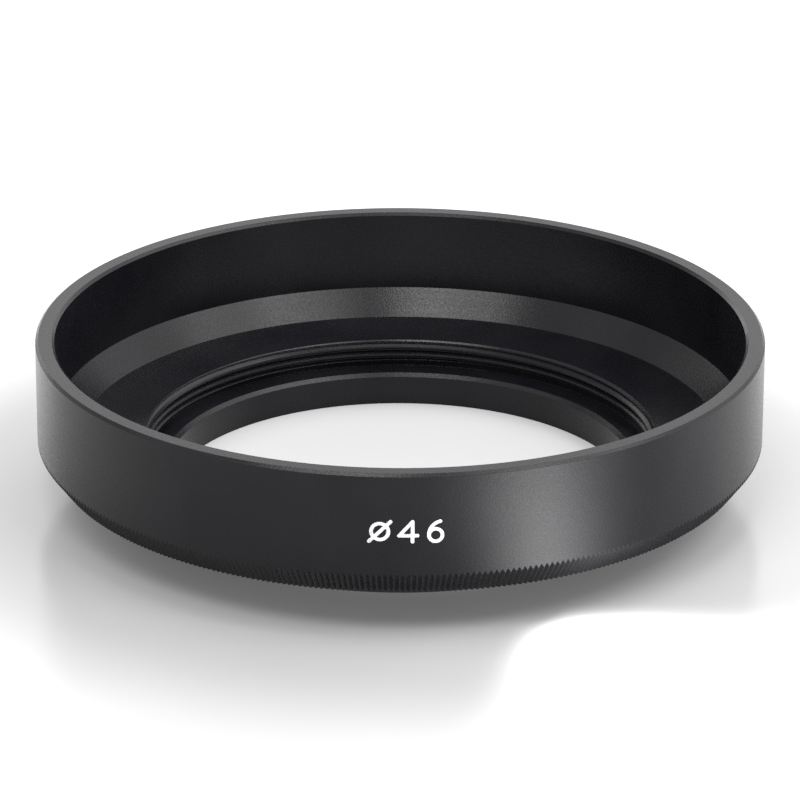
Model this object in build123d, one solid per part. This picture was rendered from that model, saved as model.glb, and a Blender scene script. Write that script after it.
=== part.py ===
from build123d import *
from math import atan2, ceil, cos, degrees, pi, radians, tan
import os

# Screw-in lens hood: a shallow turned dish with a filter thread in its floor, a knurled bevel round
# its lower edge, and a separate mount ring behind it that screws into the lens.
# The origin is on the optical axis, in the plane of the rear end, which goes into the lens. +Z is the
# way the light comes from, -Z points into the lens, and -Y is the side that carries the size mark.

# ---- driving dimensions, millimetres ----
hood_diameter = 65.0
hood_depth = 9.8  # rim down to the floor of the dish
rim_wall = 1.7
rim_edge_break = 0.25
cone_width = 1.9
cone_height = 2.3
floor_thickness = 1.65

knurl_bevel_width = 1.5
knurl_bevel_height = 2.0
knurl_pitch = 0.5
knurl_depth = 0.23  # square to the bevel

thread_diameter = 46.0  # front and rear alike
thread_pitch = 0.75
thread_mouth_height = 0.5
front_thread_height = 1.95  # floor of the dish down to the mount ring

ledge_thickness = 0.65
relief_height = 0.65
ledge_width = 2.15  # thread down to the light path
ledge_edge_break = 0.33
rear_thread_length = 2.35
rear_relief_height = 0.3
rear_lead_in = 0.7

seat_width = 1.6  # shoulder outside the rear thread
hub_wall = 1.4
hub_setback = 0.15  # the hub's end stands back, so that only the mount ring meets the lens
hub_edge_break = 0.3
ring_bond_gap = 0.02
relief_clearance = 0.06

mark_height = 2.15
mark_stroke = 0.33
mark_spacing = 2.35
mark_drop = 5.18  # rim down to the middle of the mark
mark_turn = 1.2  # degrees round from the front
engraving_depth = 0.14
paint_below_surface = 0.02

# ---- sizes that follow ----
seat_z = rear_thread_length
rear_relief_z = seat_z - rear_relief_height
hub_end_z = seat_z + hub_setback
ledge_z = seat_z + ledge_thickness
ring_top_z = ledge_z + relief_height
floor_z = ring_top_z + front_thread_height
rim_z = floor_z + hood_depth
plate_back_z = floor_z - floor_thickness
bevel_top_z = plate_back_z + knurl_bevel_height
mark_z = rim_z - mark_drop

outer_radius = hood_diameter / 2
inner_radius = outer_radius - rim_wall
cone_foot_radius = inner_radius - cone_width

thread_radius = thread_diameter / 2
minor_radius = thread_radius - thread_pitch * cos(radians(30)) * 5 / 8
front_relief_radius = thread_radius + relief_clearance
rear_relief_radius = minor_radius - relief_clearance
light_path_radius = thread_radius - ledge_width
ring_radius = thread_radius + seat_width
socket_radius = ring_radius + ring_bond_gap
hub_radius = socket_radius + hub_wall

tool_margin = 0.5  # how far a cutting tool stands clear of what it cuts
thread_tool_clearance = 0.05


def turned(*outline):
    """A solid of revolution about Z from its (radius, height) corners."""
    corners = [(radius, 0, height) for radius, height in outline]
    return revolve(make_face(Polyline(*corners, close=True)), Axis.Z)


def cut_thread(blank, root_radius, open_radius, root_flat, low_z, high_z):
    """Cut the 60 degree groove of a thread into a blank, one turn at a time."""
    root_half = root_flat / 2
    open_half = root_half + abs(open_radius - root_radius) * tan(radians(30))
    turns = ceil((high_z - low_z) / thread_pitch) + 2
    for turn in range(turns):
        start_z = low_z + (turn - 1) * thread_pitch
        corners = [
            (root_radius, 0, start_z - root_half),
            (root_radius, 0, start_z + root_half),
            (open_radius, 0, start_z + open_half),
            (open_radius, 0, start_z - open_half),
        ]
        path = Helix(thread_pitch, thread_pitch, root_radius, center=(0, 0, start_z))
        blank -= sweep(make_face(Polyline(*corners, close=True)), path, is_frenet=True)
    return blank


def knurl_star(height, valley_share):
    """The knurl's section at one height: a star with one point for each tooth."""
    teeth = round(pi * hood_diameter / knurl_pitch)
    slope = knurl_bevel_width / knurl_bevel_height
    crest_radius = outer_radius + (height - bevel_top_z) * slope
    corners = []
    for step in range(2 * teeth):
        share = 1 if step % 2 == 0 else valley_share
        corners.append(Vector(crest_radius * share, 0, height).rotate(Axis.Z, 180 * step / teeth))
    return make_face(Polyline(*corners, close=True))


def knurl_cutter():
    """What the knurling takes off the lower edge: a ring whose inside is toothed and conical."""
    valley_drop = knurl_depth / cos(atan2(knurl_bevel_width, knurl_bevel_height))
    run_out = valley_drop * knurl_bevel_height / knurl_bevel_width
    low_z = plate_back_z - tool_margin
    high_z = bevel_top_z + run_out + tool_margin
    valley_share = 1 - valley_drop / outer_radius
    toothed_core = loft([knurl_star(low_z, valley_share), knurl_star(high_z, valley_share)], ruled=True)
    inside = outer_radius - knurl_bevel_width - 2 * tool_margin
    outside = outer_radius + tool_margin
    ring = turned((inside, low_z), (outside, low_z), (outside, high_z), (inside, high_z))
    return ring - toothed_core


def bar_stroke(start, end):
    """A straight stroke with round ends."""
    run = Vector(*end) - Vector(*start)
    middle = (Vector(*end) + Vector(*start)) / 2
    turn = degrees(atan2(run.Y, run.X))
    return Location(middle) * SlotCenterToCenter(run.length, mark_stroke, rotation=turn)


def ring_stroke(radius):
    """A stroke that closes on itself."""
    return Circle(radius + mark_stroke / 2) - Circle(radius - mark_stroke / 2)


def diameter_sign(half):
    """A round zero with a slash, whose strokes reach half a height up and down."""
    return ring_stroke(0.8 * half) + bar_stroke((-half, -half), (half, half))


def figure_four(half):
    stem = bar_stroke((0.45 * half, -half), (0.45 * half, half))
    slope = bar_stroke((0.45 * half, half), (-0.8 * half, -0.4 * half))
    return stem + slope + bar_stroke((-0.8 * half, -0.4 * half), (0.9 * half, -0.4 * half))


def figure_six(half):
    bowl_radius = 0.62 * half
    bowl = Location((0, bowl_radius - half)) * ring_stroke(bowl_radius)
    tail = ThreePointArc((-bowl_radius, bowl_radius - half), (-0.35 * half, 0.5 * half), (0.42 * half, half))
    return bowl + SlotArc(tail, mark_stroke)


def size_mark(low_radius, high_radius):
    """The figures of the size mark, as solids between two radii of the wall."""
    front = Plane(origin=(0, -inner_radius, mark_z), x_dir=(1, 0, 0), z_dir=(0, -1, 0))
    half = (mark_height - mark_stroke) / 2
    layer = Cylinder(high_radius, 3 * mark_height) - Cylinder(low_radius, 3 * mark_height)
    layer = Location((0, 0, mark_z)) * layer
    solids = []
    for place, figure in enumerate([diameter_sign, figure_four, figure_six]):
        turn = mark_turn + degrees((place - 1) * mark_spacing / outer_radius)
        solids.append(Rotation(0, 0, turn) * extrude(front * figure(half), rim_wall + tool_margin) & layer)
    return solids


def hood_shell():
    """The dish: rim, wall, cone, threaded floor, knurled bevel and rear hub, turned from one bar."""
    shell = turned(
        (socket_radius, hub_end_z),
        (hub_radius - hub_edge_break, hub_end_z),
        (hub_radius, hub_end_z + hub_edge_break),
        (hub_radius, plate_back_z),
        (outer_radius, plate_back_z),
        (outer_radius, rim_z - rim_edge_break),
        (outer_radius - rim_edge_break, rim_z),
        (inner_radius + rim_edge_break, rim_z),
        (inner_radius, rim_z - rim_edge_break),
        (inner_radius, floor_z + cone_height),
        (cone_foot_radius, floor_z),
        (thread_radius, floor_z),
        (minor_radius, floor_z - thread_mouth_height),
        (minor_radius, ring_top_z),
        (socket_radius, ring_top_z),
    )
    open_radius = minor_radius - thread_tool_clearance
    shell = cut_thread(shell, thread_radius, open_radius, thread_pitch / 8, ring_top_z, floor_z)
    for figure in size_mark(outer_radius - engraving_depth, outer_radius + tool_margin):
        shell -= figure
    return shell - knurl_cutter()


def mount_ring():
    """The ring behind the front thread, with the light path and the male thread for the lens."""
    flange = turned(
        (light_path_radius, rear_relief_z),
        (rear_relief_radius, rear_relief_z),
        (rear_relief_radius, seat_z),
        (ring_radius, seat_z),
        (ring_radius, ring_top_z),
        (front_relief_radius, ring_top_z),
        (front_relief_radius, ledge_z),
        (light_path_radius + ledge_edge_break, ledge_z),
        (light_path_radius, ledge_z - ledge_edge_break),
    )
    tube = turned(
        (light_path_radius, 0),
        (thread_radius - rear_lead_in, 0),
        (thread_radius, rear_lead_in),
        (thread_radius, rear_relief_z),
        (light_path_radius, rear_relief_z),
    )
    open_radius = thread_radius + thread_tool_clearance
    tube = cut_thread(tube, minor_radius, open_radius, thread_pitch / 4, 0, rear_relief_z)
    return flange + tube


def size_mark_paint():
    """The paint in the engraved figures, a little below the wall's surface."""
    return Compound(size_mark(outer_radius - engraving_depth, outer_radius - paint_below_surface))


if __name__ == "__main__":
    os.makedirs("parts", exist_ok=True)
    for make_node in (hood_shell, mount_ring, size_mark_paint):
        export_step(make_node(), f"parts/{make_node.__name__}.step")
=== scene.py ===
"""The looks of a screw-in lens hood: satin black anodised metal, a painted size mark, studio light.

Everything is in metres in the part's own frame: +Z along the optical axis out of the hood's front,
-Y towards the size mark and the camera.
"""
import math

import bpy
from mathutils import Euler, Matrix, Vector


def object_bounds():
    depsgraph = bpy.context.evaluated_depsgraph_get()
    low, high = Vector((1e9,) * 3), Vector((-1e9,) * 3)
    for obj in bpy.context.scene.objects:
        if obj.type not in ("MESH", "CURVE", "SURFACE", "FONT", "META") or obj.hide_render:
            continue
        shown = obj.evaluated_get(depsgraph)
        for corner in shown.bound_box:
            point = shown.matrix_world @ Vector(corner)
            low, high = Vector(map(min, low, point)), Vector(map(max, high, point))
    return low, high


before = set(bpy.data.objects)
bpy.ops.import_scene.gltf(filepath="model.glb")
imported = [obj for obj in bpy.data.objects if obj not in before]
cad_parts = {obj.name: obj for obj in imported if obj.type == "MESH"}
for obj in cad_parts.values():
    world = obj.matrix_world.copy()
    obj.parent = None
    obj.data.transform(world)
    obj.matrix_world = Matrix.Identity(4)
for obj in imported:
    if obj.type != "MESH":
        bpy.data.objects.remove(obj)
CAD_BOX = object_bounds()
BASE_Z = CAD_BOX[0].z
RIM_Z = CAD_BOX[1].z
MM = 0.001

# ---- camera ----
CAMERA_ELEVATION = math.radians(22.23)
CAMERA_ROLL = math.radians(0.15)
CAMERA_DISTANCE = 454.2 * MM
CAMERA_LENS_TO_SENSOR = 6.331
CAMERA_AIM_BELOW_RIM = 6.55 * MM
CAMERA_CLIP = (0.01, 20)
SENSOR_MM = 36.0

# ---- anodised metal: colours, gloss, grain ----
BLACK = (0.0040, 0.0038, 0.0056)
# the paler colour: random clouds of it, and a painted highlight along the edges
PALE_SPOTS_AND_EDGE_HIGHLIGHT = (0.030, 0.030, 0.034)
GLOSS_ROUGHNESS = 0.27
ROUGHNESS_SPREAD = 0.045
ANISOTROPY = 0.3
ANISOTROPY_TURN = 0.25  # a quarter turn: highlights stretch along the axis
SPECULAR_LEVEL = 0.25
GRAIN_SCALE = 5200
CLOUD_SCALE = 140
PATCH_SCALE = 900
GRAIN_BUMP = 0.5
MARK_BUMP = 0.015
MARK_SHARE = 0.25  # the tool marks' part in the speckle
BUMP_HEIGHT = 0.02 * MM
EDGE_RADIUS = 0.05 * MM
EDGE_SAMPLES = 6
EDGE_DOT = 0.93  # the lean of the rounded normal at which an edge gets the full painted highlight
EDGE_HIGHLIGHT_SHARE = 0.55
CLOUD_WEAR = 0.10

# ---- paint in the engraving ----
PAINT = (0.80, 0.81, 0.82)
PAINT_DIRT = (0.55, 0.55, 0.56)
PAINT_ROUGHNESS = 0.6
PAINT_DIRT_SCALE = 3500
PAINT_BUMP_SCALE = 7000
PAINT_BUMP = 0.3

# ---- floor ----
FLOOR_SIZE = 3.0
FLOOR_MIDDLE_Y = 0.9
FLOOR_DARK = (0.41, 0.41, 0.41)
FLOOR_PALE = (0.43, 0.43, 0.43)
FLOOR_MOTTLE_SCALE = 30
FLOOR_ROUGHNESS = 0.2
FLOOR_SPECULAR_LEVEL = 0.5
# painted light in the floor's emission all round the hood, weak close to it: distance from the optical
# axis in metres, strength
FLOOR_GLOW = ((0.016, 0.28), (0.024, 0.10), (0.038, 0.10), (0.056, 0.36), (0.100, 0.70))
# the painted pool of light in the floor's emission, a fan at the front right: where it spreads from,
# its middle, and how it fades
FAN_FROM = (9.7 * MM, -24.1 * MM, BASE_Z)
FAN_AZIMUTH = math.radians(39)
FAN_HALF_WIDTH = math.radians(66)
FAN_STRENGTH = 10.0
FAN_POWER = 3.0
FAN_NEAR = (4 * MM, 14 * MM)
FAN_FAR = (25 * MM, 80 * MM)

# ---- lights: name, azimuth, elevation, width and height in metres, watts ----
SOFTBOXES = (
    ("low_strip", 46, 10, 0.10, 0.20, 0.6),
    ("front_left", -40, 56, 0.16, 0.16, 0.60),
    ("front", -12, 57, 0.16, 0.16, 0.95),
    ("high_front_right", 46, 56, 0.25, 0.20, 0.84),
    ("high_right", 75, 50, 0.30, 0.30, 0.88),
    ("high_right_side", 102, 50, 0.30, 0.30, 0.52),
    ("right_side", 110, 20, 0.45, 0.30, 0.58),
    ("back_right_high", 140, 50, 0.45, 0.30, 0.70),
    ("back_right", 150, 20, 0.30, 0.30, 0.27),
    ("back", 180, 20, 0.30, 0.30, 0.27),
    ("back_left", -150, 20, 0.30, 0.30, 0.54),
    ("left_side", -110, 20, 0.45, 0.30, 0.20),
    ("high_left", -90, 50, 0.30, 0.30, 0.22),
    ("top", 0, 88, 0.30, 0.30, 0.67),
)
LIGHT_DISTANCE = 0.6
WORLD_STRENGTH = 0.535
WHITE = (1, 1, 1, 1)


def make_camera():
    """A long lens that looks down into the dish from the size mark's side."""
    data = bpy.data.cameras.new("camera")
    data.sensor_width = SENSOR_MM
    data.lens = SENSOR_MM * CAMERA_LENS_TO_SENSOR
    data.clip_start, data.clip_end = CAMERA_CLIP
    camera = bpy.data.objects.new("camera", data)
    bpy.context.scene.collection.objects.link(camera)
    aim = Vector((0, 0, RIM_Z - CAMERA_AIM_BELOW_RIM))
    back = Vector((0, -math.cos(CAMERA_ELEVATION), math.sin(CAMERA_ELEVATION)))
    camera.location = aim + back * CAMERA_DISTANCE
    tilt = Euler((math.pi / 2 - CAMERA_ELEVATION, 0, 0)).to_matrix()
    roll = Euler((0, 0, CAMERA_ROLL)).to_matrix()
    camera.rotation_euler = (tilt @ roll).to_euler()
    bpy.context.scene.camera = camera


class Nodes:
    """A material's node tree, with short calls for the nodes used here."""

    def __init__(self, name):
        self.material = bpy.data.materials.new(name)
        self.material.use_nodes = True
        self.tree = self.material.node_tree
        self.shader = self.tree.nodes["Principled BSDF"]

    def add(self, kind, **settings):
        node = self.tree.nodes.new(kind)
        for key, value in settings.items():
            setattr(node, key, value)
        return node

    def link(self, source, target):
        self.tree.links.new(source, target)

    def math(self, operation, first, second=None):
        node = self.add("ShaderNodeMath", operation=operation)
        for socket, value in zip(node.inputs, (first, second)):
            if isinstance(value, (int, float)):
                socket.default_value = value
            elif value is not None:
                self.link(value, socket)
        return node.outputs[0]

    def noise(self, vector, scale, detail=2.0, roughness=0.5):
        node = self.add("ShaderNodeTexNoise")
        node.inputs["Scale"].default_value = scale
        node.inputs["Detail"].default_value = detail
        node.inputs["Roughness"].default_value = roughness
        self.link(vector, node.inputs["Vector"])
        return node.outputs["Fac"]

    def ramp(self, value, low, high, out_low, out_high):
        node = self.add("ShaderNodeMapRange", interpolation_type="SMOOTHSTEP")
        sockets = ("From Min", "From Max", "To Min", "To Max")
        for name, number in zip(sockets, (low, high, out_low, out_high)):
            node.inputs[name].default_value = number
        self.link(value, node.inputs["Value"])
        return node.outputs["Result"]

    def curve(self, value, points):
        node = self.add("ShaderNodeValToRGB")
        node.color_ramp.interpolation = "EASE"
        while len(node.color_ramp.elements) < len(points):
            node.color_ramp.elements.new(0.5)
        for element, (position, level) in zip(node.color_ramp.elements, points):
            element.position = position
            element.color = (level, level, level, 1)
        self.link(value, node.inputs["Fac"])
        return node.outputs["Color"]

    def mix_colour(self, share, first, second):
        node = self.add("ShaderNodeMix", data_type="RGBA")
        self.link(share, node.inputs["Factor"])
        for socket, colour in ((node.inputs[6], first), (node.inputs[7], second)):
            if isinstance(colour, tuple):
                socket.default_value = (*colour, 1)
            else:
                self.link(colour, socket)
        return node.outputs[2]

    def bump(self, height, strength, normal=None):
        node = self.add("ShaderNodeBump")
        node.inputs["Strength"].default_value = strength
        node.inputs["Distance"].default_value = BUMP_HEIGHT
        self.link(height, node.inputs["Height"])
        if normal is not None:
            self.link(normal, node.inputs["Normal"])
        return node.outputs["Normal"]

    def length(self, vector):
        node = self.add("ShaderNodeVectorMath", operation="LENGTH")
        self.link(vector, node.inputs[0])
        return node.outputs["Value"]


def turned_coordinates(nodes):
    """(place, rings): the place in the part's frame, and (radius, height) for marks that run round."""
    place = nodes.add("ShaderNodeTexCoord").outputs["Object"]
    split = nodes.add("ShaderNodeSeparateXYZ")
    nodes.link(place, split.inputs[0])
    squares = [nodes.math("MULTIPLY", split.outputs[axis], split.outputs[axis]) for axis in (0, 1)]
    radius = nodes.math("SQRT", nodes.math("ADD", *squares))
    join = nodes.add("ShaderNodeCombineXYZ")
    nodes.link(radius, join.inputs[0])
    nodes.link(split.outputs[2], join.inputs[1])
    return place, join.outputs[0]


def edge_share(nodes, normal):
    """How far the rounded normal leans away from the face's own: above 0 only along an edge."""
    face = nodes.add("ShaderNodeNewGeometry").outputs["Normal"]
    dot = nodes.add("ShaderNodeVectorMath", operation="DOT_PRODUCT")
    nodes.link(normal, dot.inputs[0])
    nodes.link(face, dot.inputs[1])
    return nodes.ramp(dot.outputs["Value"], EDGE_DOT, 1.0, 1.0, 0.0)


def anodised(name):
    """Satin black anodising over turned metal: fine grain, faint tool marks, and a painted highlight:
    the colour is lighter in patches along the edges.
    """
    nodes = Nodes(name)
    place, rings = turned_coordinates(nodes)
    grain = nodes.noise(place, GRAIN_SCALE, 2.0, 0.55)
    marks = nodes.noise(rings, GRAIN_SCALE, 2.0, 0.6)
    clouds = nodes.noise(place, CLOUD_SCALE)
    patches = nodes.noise(place, PATCH_SCALE, 3.0, 0.65)

    rounded = nodes.add("ShaderNodeBevel", samples=EDGE_SAMPLES)
    rounded.inputs["Radius"].default_value = EDGE_RADIUS
    edge = edge_share(nodes, rounded.outputs["Normal"])
    # painted highlight: the base colour is lighter in patches along every edge
    highlit_edges = nodes.math("MULTIPLY", edge, nodes.ramp(patches, 0.40, 0.62, 0.15, 1.0))
    tone = nodes.mix_colour(nodes.ramp(clouds, 0.3, 0.7, 0.0, CLOUD_WEAR), BLACK, PALE_SPOTS_AND_EDGE_HIGHLIGHT)
    tone = nodes.mix_colour(nodes.math("MULTIPLY", highlit_edges, EDGE_HIGHLIGHT_SHARE), tone, PALE_SPOTS_AND_EDGE_HIGHLIGHT)
    nodes.link(tone, nodes.shader.inputs["Base Color"])

    speckle = nodes.math("ADD", grain, nodes.math("MULTIPLY", marks, MARK_SHARE))
    smoothest = GLOSS_ROUGHNESS - ROUGHNESS_SPREAD
    roughest = GLOSS_ROUGHNESS + ROUGHNESS_SPREAD
    rough = nodes.ramp(speckle, 0.42, 0.83, smoothest, roughest)
    nodes.link(rough, nodes.shader.inputs["Roughness"])

    normal = nodes.bump(grain, GRAIN_BUMP, rounded.outputs["Normal"])
    normal = nodes.bump(marks, MARK_BUMP, normal)
    nodes.link(normal, nodes.shader.inputs["Normal"])

    tangent = nodes.add("ShaderNodeTangent", direction_type="RADIAL", axis="Z")
    nodes.link(tangent.outputs[0], nodes.shader.inputs["Tangent"])
    nodes.shader.inputs["Anisotropic"].default_value = ANISOTROPY
    nodes.shader.inputs["Anisotropic Rotation"].default_value = ANISOTROPY_TURN
    nodes.shader.inputs["Specular IOR Level"].default_value = SPECULAR_LEVEL
    return nodes.material


def engraving_paint():
    """White paint wiped into the engraving: matte, with a little grey dirt."""
    nodes = Nodes("engraving_paint")
    place, _ = turned_coordinates(nodes)
    dirt = nodes.ramp(nodes.noise(place, PAINT_DIRT_SCALE, 3.0, 0.6), 0.42, 0.75, 0.0, 1.0)
    nodes.link(nodes.mix_colour(dirt, PAINT, PAINT_DIRT), nodes.shader.inputs["Base Color"])
    normal = nodes.bump(nodes.noise(place, PAINT_BUMP_SCALE), PAINT_BUMP)
    nodes.link(normal, nodes.shader.inputs["Normal"])
    nodes.shader.inputs["Roughness"].default_value = PAINT_ROUGHNESS
    return nodes.material


def give_material(node, material):
    """Put the material on a CAD node's slots; its mesh and place stay as they are."""
    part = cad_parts[node]
    if not part.data.materials:
        part.data.materials.append(material)
    for index in range(len(part.data.materials)):
        part.data.materials[index] = material


def fan_glow(nodes, place):
    """The strength of the painted pool of light, a fan in the floor's emission that spreads to the
    front right.
    """
    away = nodes.add("ShaderNodeVectorMath", operation="SUBTRACT")
    nodes.link(place, away.inputs[0])
    away.inputs[1].default_value = FAN_FROM
    split = nodes.add("ShaderNodeSeparateXYZ")
    nodes.link(away.outputs["Vector"], split.inputs[0])
    forward = nodes.math("MULTIPLY", split.outputs[1], -1.0)
    turn = nodes.math("ARCTAN2", split.outputs[0], forward)
    off_middle = nodes.math("ABSOLUTE", nodes.math("SUBTRACT", turn, FAN_AZIMUTH))
    fan = nodes.math("POWER", nodes.ramp(off_middle, 0.0, FAN_HALF_WIDTH, 1.0, 0.0), FAN_POWER)
    length = nodes.length(away.outputs["Vector"])
    near = nodes.ramp(length, *FAN_NEAR, 0.0, 1.0)
    far = nodes.ramp(length, *FAN_FAR, 1.0, 0.0)
    reach = nodes.math("MULTIPLY", near, far)
    return nodes.math("MULTIPLY", reach, nodes.math("MULTIPLY", fan, FAN_STRENGTH))


def painted_glow_round_hood(nodes, place):
    """The strength of the painted light in the floor's emission all round the hood, which is weak
    close to it.
    """
    widest = FLOOR_GLOW[-1][0]
    share = nodes.math("DIVIDE", nodes.length(place), widest)
    return nodes.curve(share, [(distance / widest, level) for distance, level in FLOOR_GLOW])


def make_floor():
    """A plain pale floor that the hood stands on; its emission is painted light all round, most of all
    a pool of light at the front right.
    """
    bpy.ops.mesh.primitive_plane_add(size=FLOOR_SIZE, location=(0, FLOOR_MIDDLE_Y, BASE_Z))
    floor = bpy.context.object
    floor.name = "floor"
    nodes = Nodes("pale_floor")
    place = nodes.add("ShaderNodeNewGeometry").outputs["Position"]
    mottle = nodes.ramp(nodes.noise(place, FLOOR_MOTTLE_SCALE, 3.0), 0.3, 0.7, 0.0, 1.0)
    colour = nodes.mix_colour(mottle, FLOOR_DARK, FLOOR_PALE)
    nodes.link(colour, nodes.shader.inputs["Base Color"])
    nodes.shader.inputs["Roughness"].default_value = FLOOR_ROUGHNESS
    nodes.shader.inputs["Specular IOR Level"].default_value = FLOOR_SPECULAR_LEVEL
    # painted light: the floor's emission, though the floor is no lamp
    glow = nodes.math("ADD", fan_glow(nodes, place), painted_glow_round_hood(nodes, place))
    nodes.shader.inputs["Emission Color"].default_value = WHITE
    nodes.link(glow, nodes.shader.inputs["Emission Strength"])
    floor.data.materials.append(nodes.material)


def soft_light(name, azimuth, elevation, width, height, power):
    """A softbox aimed at the hood. Azimuth 0 is the camera's side and 90 is the right."""
    data = bpy.data.lights.new(name, "AREA")
    data.shape = "RECTANGLE"
    data.size = width
    data.size_y = height
    data.energy = power
    light = bpy.data.objects.new(name, data)
    bpy.context.scene.collection.objects.link(light)
    turn, rise = math.radians(azimuth), math.radians(elevation)
    across, forward = math.sin(turn) * math.cos(rise), math.cos(turn) * math.cos(rise)
    away = Vector((across, -forward, math.sin(rise)))
    light.location = away * LIGHT_DISTANCE
    light.rotation_euler = away.to_track_quat("Z", "Y").to_euler()


def make_world():
    """An even white surround."""
    world = bpy.data.worlds.new("studio")
    bpy.context.scene.world = world
    world.use_nodes = True
    background = world.node_tree.nodes["Background"]
    background.inputs["Color"].default_value = WHITE
    background.inputs["Strength"].default_value = WORLD_STRENGTH


make_camera()
give_material("hood_shell", anodised("shell_anodising"))
give_material("mount_ring", anodised("ring_anodising"))
give_material("size_mark_paint", engraving_paint())
make_floor()
make_world()
for softbox in SOFTBOXES:
    soft_light(*softbox)
bpy.context.scene.view_settings.view_transform = "Standard"
